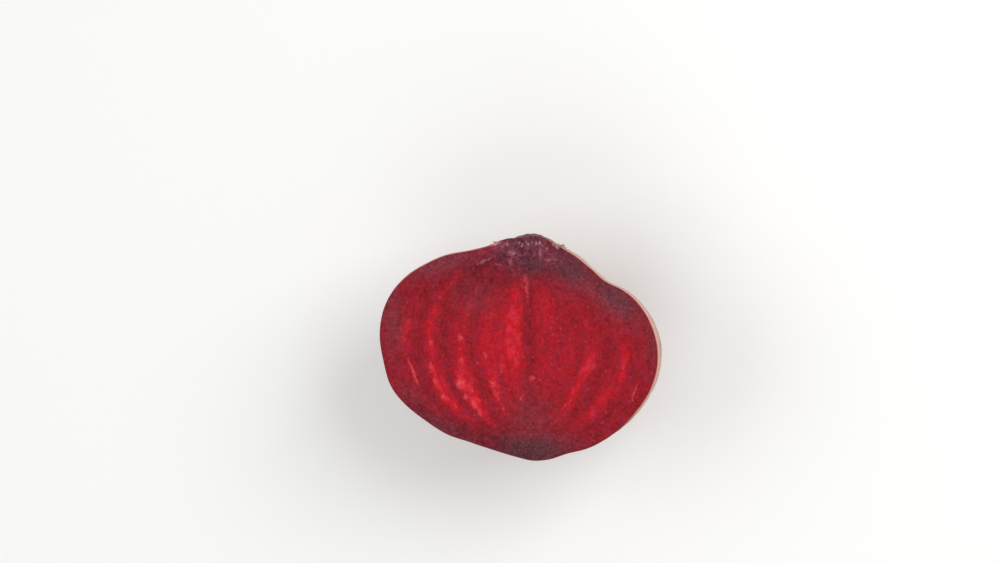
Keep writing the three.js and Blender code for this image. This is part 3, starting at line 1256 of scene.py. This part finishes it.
@dataclass
class StalkBases:
    """The torn, dried bases of the leaf stalks, standing in a spiral round the crown."""

    back: RoundBack
    shift: Vector
    count: int = 190
    lost: float = 0.12  # share of the bases that have broken off
    spacing: float = 1.0
    nearest: float = 7.2  # inside this the crown is trimmed flush
    width: float = 3.2
    height: float = 1.7
    thickness: float = 0.6
    sunk: float = 0.9
    size: float = 1.35  # share of the sizes at the crown's middle
    shrink: float = 0.06  # what that loses for each millimetre outwards
    raggedness: float = 0.9  # of the torn tops
    shade_spread: float = 0.35  # how much lighter or darker one is than the next
    crown_view: float = 0.0785  # how far a point rises in the picture for each step below the cut
    bumps: tuple[float, ...] = (-10.0, 9.6)  # where corky bumps stand up at the cut edge
    bump_rise: float = 0.9
    bump_half_width: float = 1.8

    def build(self) -> bpy.types.Object:
        """Make every stalk base, trim them at the cut plane and place them in the frame.

        Returns:
            The finished object, at the origin.
        """
        bm = bmesh.new()
        bm.verts.layers.float.new("tip")
        bm.verts.layers.float.new("shade")
        for n in range(1, self.count + 1):
            stand = self.spacing * math.sqrt(n) * (0.92 + 0.16 * scatter(n, 8))
            roll = math.remainder(n * GOLDEN_ANGLE + 0.3 * scatter(n, 9), 2 * math.pi)
            if stand > self.nearest and -0.1 < roll and scatter(n, 7) > self.lost:
                self._add(bm, n, stand, roll)
        return make_piece("crown_stalk_bases", bm, self.shift, (DriedStalk(),))

    def _foot(self, stand: float, roll: float) -> tuple[Vector, Matrix]:
        """Find where a stalk base stands and how it is turned.

        Args:
            stand: Distance from the crown-root line.
            roll: Angle round that line.

        Returns:
            The point on the skin, and a turn whose columns are across, outwards and up.
        """
        low, high = 0.01, 1.2
        for _ in range(24):
            tilt = (low + high) / 2
            low, high = (tilt, high) if self.back.radius(tilt, roll) * math.sin(tilt) < stand else (low, tilt)
        foot = self.back.point(tilt, roll)
        away = (self.back.point(tilt + 0.05, roll) - self.back.point(tilt - 0.05, roll)).normalized()
        across = (self.back.point(tilt, roll + 0.05) - self.back.point(tilt, roll - 0.05)).normalized()
        up = across.cross(away).normalized()
        if up.dot(foot) < 0:
            up = -up
        return foot, Matrix((across, away, up)).transposed()

    def _add(self, bm: bmesh.types.BMesh, n: int, stand: float, roll: float) -> None:
        """Add one stalk base: a thin bowed flake, thinner and ragged at its torn top.

        Args:
            bm: The mesh that it is added to.
            n: Its number in the spiral.
            stand: Its distance from the crown-root line.
            roll: Its angle round that line.
        """
        foot, turn = self._foot(stand, roll)
        # none stands up behind the cut edge where the picture shows none
        room = self.back.edge.top(foot.x) - foot.y + self.crown_view * foot.z - 0.3
        offs = ((foot.x - place) / self.bump_half_width for place in self.bumps)
        room += self.bump_rise * sum(math.exp(-(off**2)) for off in offs)
        outer = self.size - self.shrink * stand  # the outer ones are smaller
        height = min(self.height * outer * (0.45 + 0.65 * scatter(n, 4)), max(0.05, room))
        width = self.width * outer * (0.2 + 1.1 * scatter(n, 3) ** 1.6)  # few are wide
        lean = 0.3 + 0.8 * scatter(n, 5)
        flake = bmesh.new()
        bmesh.ops.create_cube(flake, size=1.0)
        upright = [e for e in flake.edges if abs((e.verts[0].co - e.verts[1].co).z) > 0.5]
        bmesh.ops.subdivide_edges(flake, edges=upright, cuts=2, use_grid_fill=True)
        wide = [e for e in flake.edges if abs((e.verts[0].co - e.verts[1].co).x) > 0.5]
        bmesh.ops.subdivide_edges(flake, edges=wide, cuts=4, use_grid_fill=True)
        tip_layer = flake.verts.layers.float.new("tip")
        shade_layer = flake.verts.layers.float.new("shade")
        for vert in flake.verts:
            side, depth, rise = vert.co.x * 2, vert.co.y * 2, vert.co.z + 0.5
            ragged = 1 + self.raggedness * noise.noise(Vector((side * 4.3, n * 3.7, 0.0)))
            up = rise * (height * ragged * (1 - 0.4 * side**2) + self.sunk) - self.sunk
            thin = self.thickness / 2 * (1 - 0.5 * rise) * (1 - 0.35 * side**2)
            bow = (side * width / 2) ** 2 / (2 * stand)
            curl = lean * max(0.0, up) + 0.12 * noise.noise(Vector((side * 2, rise * 2, n * 1.9)))
            vert.co = foot + turn @ Vector((side * width / 2, depth * thin + curl - bow, up))
            vert[tip_layer] = rise
            vert[shade_layer] = self.shade_spread * (scatter(n, 6) - 0.5)
        self._trim(flake)
        whole = bpy.data.meshes.new("flake")
        flake.to_mesh(whole)
        flake.free()
        bm.from_mesh(whole)
        bpy.data.meshes.remove(whole)

    def _trim(self, flake: bmesh.types.BMesh) -> None:
        """Cut a flake off just below the cut plane and close it.

        Args:
            flake: The flake's mesh.
        """
        cut = bmesh.ops.bisect_plane(
            flake,
            geom=flake.verts[:] + flake.edges[:] + flake.faces[:],
            plane_co=(0.0, 0.0, -0.05),
            plane_no=(0.0, 0.0, 1.0),
            clear_outer=True,
        )
        edges = [g for g in cut["geom_cut"] if isinstance(g, bmesh.types.BMEdge)]
        if edges and flake.faces:
            bmesh.ops.holes_fill(flake, edges=edges)
        bmesh.ops.recalc_face_normals(flake, faces=flake.faces[:])


@dataclass(frozen=True)
class Softbox:
    """A square studio light: where it stands, its side, and its power in watts."""

    name: str
    place: tuple[float, float, float]
    side: float
    watts: float


@dataclass
class Studio:
    """The camera, the floor and the light."""

    shift: Vector
    picture_px: tuple[float, float] = (1000.0, 563.0)
    middle_px: tuple[float, float] = (526.0, 345.0)  # the cut face's middle in the picture
    pixel_mm: float = 0.3059
    lens_mm: float = 250.0
    sensor_mm: float = 36.0
    lean_right_deg: float = 14.5  # the camera stands to the right of straight above
    lean_crown_deg: float = 4.5  # and towards the crown
    softboxes: tuple[Softbox, ...] = (
        Softbox("key_upper_right", (0.75, 0.45, 0.75), 0.7, 7.0),
        Softbox("fill_left", (-0.8, 0.1, 0.9), 0.9, 3.0),
        Softbox("fill_front", (0.0, -0.9, 0.8), 0.9, 2.0),
    )
    sky: float = 0.52

    def add_camera(self) -> bpy.types.Object:
        """Make the camera, which looks down on the cut face as the photograph looks at it.

        Returns:
            The camera, which is the scene's.
        """
        camera = bpy.data.objects.new("camera", bpy.data.cameras.new("camera"))
        bpy.context.scene.collection.objects.link(camera)
        camera.data.lens = self.lens_mm
        camera.data.sensor_width = self.sensor_mm
        leans = (math.tan(math.radians(self.lean_right_deg)), math.tan(math.radians(self.lean_crown_deg)))
        back = Vector((*leans, 1.0)).normalized()
        right = Vector((0.0, 1.0, 0.0)).cross(back).normalized()
        up = back.cross(right)
        across = (self.picture_px[0] / 2 - self.middle_px[0]) * self.pixel_mm
        above = (self.middle_px[1] - self.picture_px[1] / 2) * self.pixel_mm
        distance = self.picture_px[0] * self.pixel_mm * self.lens_mm / self.sensor_mm
        place = self.shift + right * across + up * above + back * distance
        camera.matrix_world = Matrix.Translation(place * MM) @ Matrix((right, up, back)).transposed().to_4x4()
        camera.data.clip_start, camera.data.clip_end = 0.01, 20.0
        bpy.context.scene.camera = camera
        return camera

    def add_floor(self) -> bpy.types.Object:
        """Make the floor that the half lies on.

        Returns:
            The floor.
        """
        bm = bmesh.new()
        bmesh.ops.create_grid(bm, x_segments=1, y_segments=1, size=3000.0)
        floor = make_piece("floor", bm, Vector(), (PaleSurface(),))
        return floor

    def add_light(self) -> None:
        """Make the softboxes and an even pale sky."""
        for box in self.softboxes:
            lamp = bpy.data.lights.new(box.name, "AREA")
            lamp.size = box.side
            lamp.energy = box.watts
            light = bpy.data.objects.new(box.name, lamp)
            bpy.context.scene.collection.objects.link(light)
            light.location = box.place
            light.rotation_euler = Vector(box.place).to_track_quat("Z", "Y").to_euler()
        world = bpy.data.worlds.new("sky")
        world.use_nodes = True
        world.node_tree.nodes.clear()
        tree = world.node_tree
        sky = add_node(tree, "Background", {"Color": linear("#ffffff"), "Strength": self.sky})
        add_node(tree, "OutputWorld", {"Surface": sky})
        bpy.context.scene.world = world
        bpy.context.scene.view_settings.view_transform = "Standard"


def main() -> None:
    """Build the camera, the half, its crown and the studio."""
    logging.basicConfig(level=logging.INFO, format="%(name)s: %(message)s")
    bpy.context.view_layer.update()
    edge = Outline(CUT_EDGE)
    low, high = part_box(NODE)
    shift = Vector((low.x / MM - edge.left, low.y / MM - edge.low, high.z / MM))
    studio = Studio(shift)
    studio.add_camera()

    back = RoundBack(edge)
    half = BeetrootHalf(edge, back, CutPattern(edge), shift).build()
    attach(half, BODY)
    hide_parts(NODE)
    LOG.info("%s has %d faces", half.name, len(half.data.polygons))

    bases = StalkBases(back, shift).build()
    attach(bases, BODY)
    LOG.info("%s has %d faces", bases.name, len(bases.data.polygons))

    studio.add_floor()
    studio.add_light()
    LOG.info("sizes are written")


if __name__ == "__main__":
    main()
